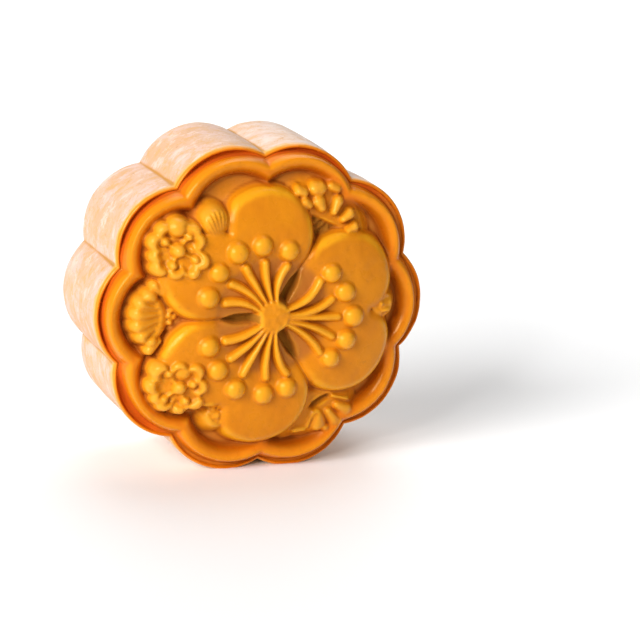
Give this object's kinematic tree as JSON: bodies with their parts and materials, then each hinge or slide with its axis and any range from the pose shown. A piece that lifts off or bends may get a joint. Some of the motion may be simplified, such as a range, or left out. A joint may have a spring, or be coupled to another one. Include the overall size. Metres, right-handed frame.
{
  "type": "lotus seed mooncake",
  "caption": "Thick scalloped baked cake, uncut, with a raised blossom, smaller flowers and fans moulded on its glazed face inside a lobed ridge; it stands on its edge.",
  "frame": {"origin": "on the surface the cake stands on, under the middle of its bounding box", "axes": "the moulded face looks along -Y and the plain base along +Y; +X is to the right of the pattern and +Z is its top"},
  "size_m": [0.078, 0.0384, 0.0754],
  "materials": {
    "crust": "glazed golden-brown pastry, glossy on the moulded face and pale and satin on the wall"
  },
  "bodies": {
    "root": {"mooncake": "crust"}
  },
  "joints": []
}
